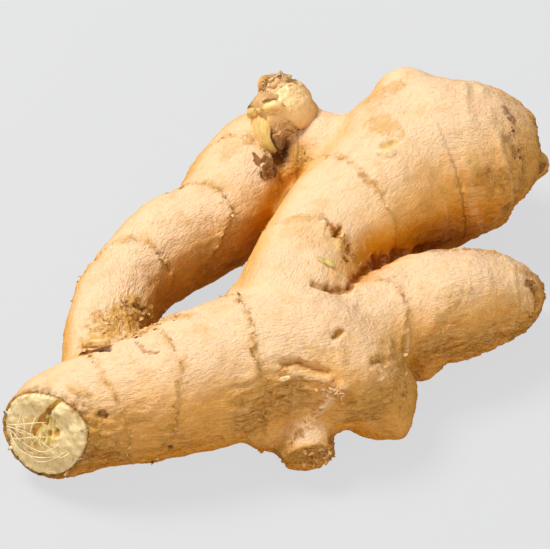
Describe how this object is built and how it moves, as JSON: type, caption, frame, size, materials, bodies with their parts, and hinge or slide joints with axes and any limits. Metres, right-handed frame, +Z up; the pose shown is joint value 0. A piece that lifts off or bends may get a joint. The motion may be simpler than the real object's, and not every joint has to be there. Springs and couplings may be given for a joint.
{
  "type": "ginger root",
  "caption": "Whole fresh ginger root lying flat: a thick stem cut at one end, with branching fingers, a scaly bud and a broken stub.",
  "frame": {"origin": "on the surface the root lies on, under the middle of its box", "axes": "+X along the hand from the cut end to the fingertips, +Z up from the surface it lies on, +Y towards the rear finger"},
  "size_m": [0.1354, 0.1142, 0.044],
  "materials": {
    "skin": "dry papery skin with fine lengthwise wrinkles",
    "flesh": "moist fibrous cut flesh",
    "scale": "dry brown papery scales"
  },
  "bodies": {
    "root": {"ginger_root": "skin"}
  },
  "joints": []
}
